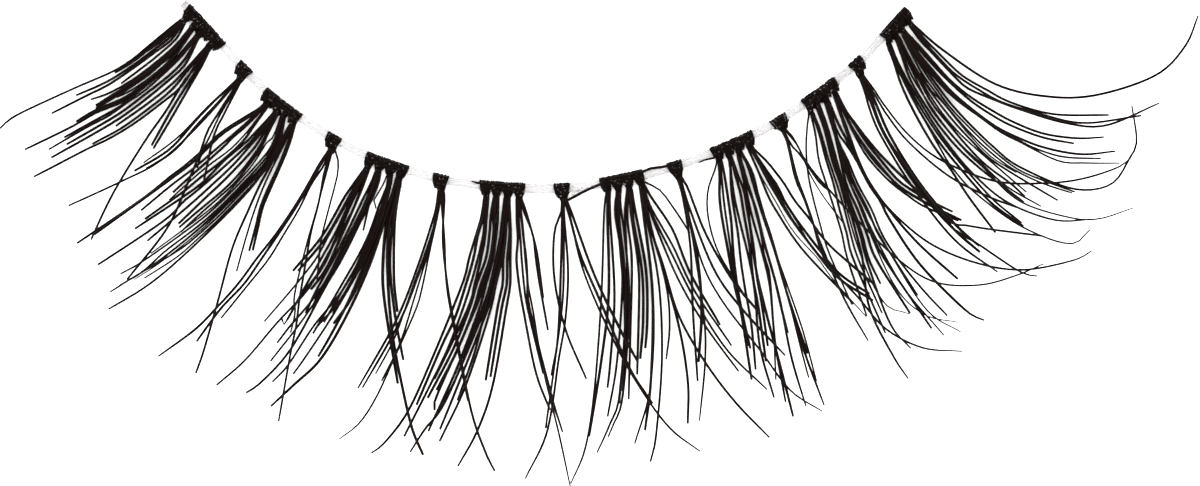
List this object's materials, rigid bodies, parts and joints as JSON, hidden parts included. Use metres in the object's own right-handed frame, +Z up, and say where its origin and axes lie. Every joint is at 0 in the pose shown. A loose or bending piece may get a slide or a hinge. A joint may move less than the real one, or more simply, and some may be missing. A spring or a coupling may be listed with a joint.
{
  "type": "false eyelash strip",
  "caption": "Strip of false eyelashes: a thin clear curved band with groups and tufts of dark fibre lashes knotted round it, longer and flared at the outer corner.",
  "frame": {"origin": "middle of the band's back edge, at the height of the table that the strip lies on", "axes": "+X along the strip to its outer corner, -Y the way the lashes point, +Z up from the table, the way the lashes curl"},
  "size_m": [0.0478, 0.0194, 0.0044],
  "materials": {
    "clear_band": "gloss",
    "black_fibre": "satin"
  },
  "bodies": {
    "root": {"lash_band": "clear_band", "lash_group_1": "black_fibre", "lash_group_2": "black_fibre", "lash_group_3": "black_fibre", "lash_group_4": "black_fibre", "lash_group_5": "black_fibre", "lash_group_6": "black_fibre", "lash_group_7": "black_fibre", "lash_group_8": "black_fibre", "lash_tuft_1": "black_fibre", "lash_tuft_2": "black_fibre", "lash_tuft_3": "black_fibre", "lash_tuft_4": "black_fibre", "lash_tuft_5": "black_fibre", "lash_tuft_6": "black_fibre", "lash_tuft_7": "black_fibre"}
  },
  "joints": []
}
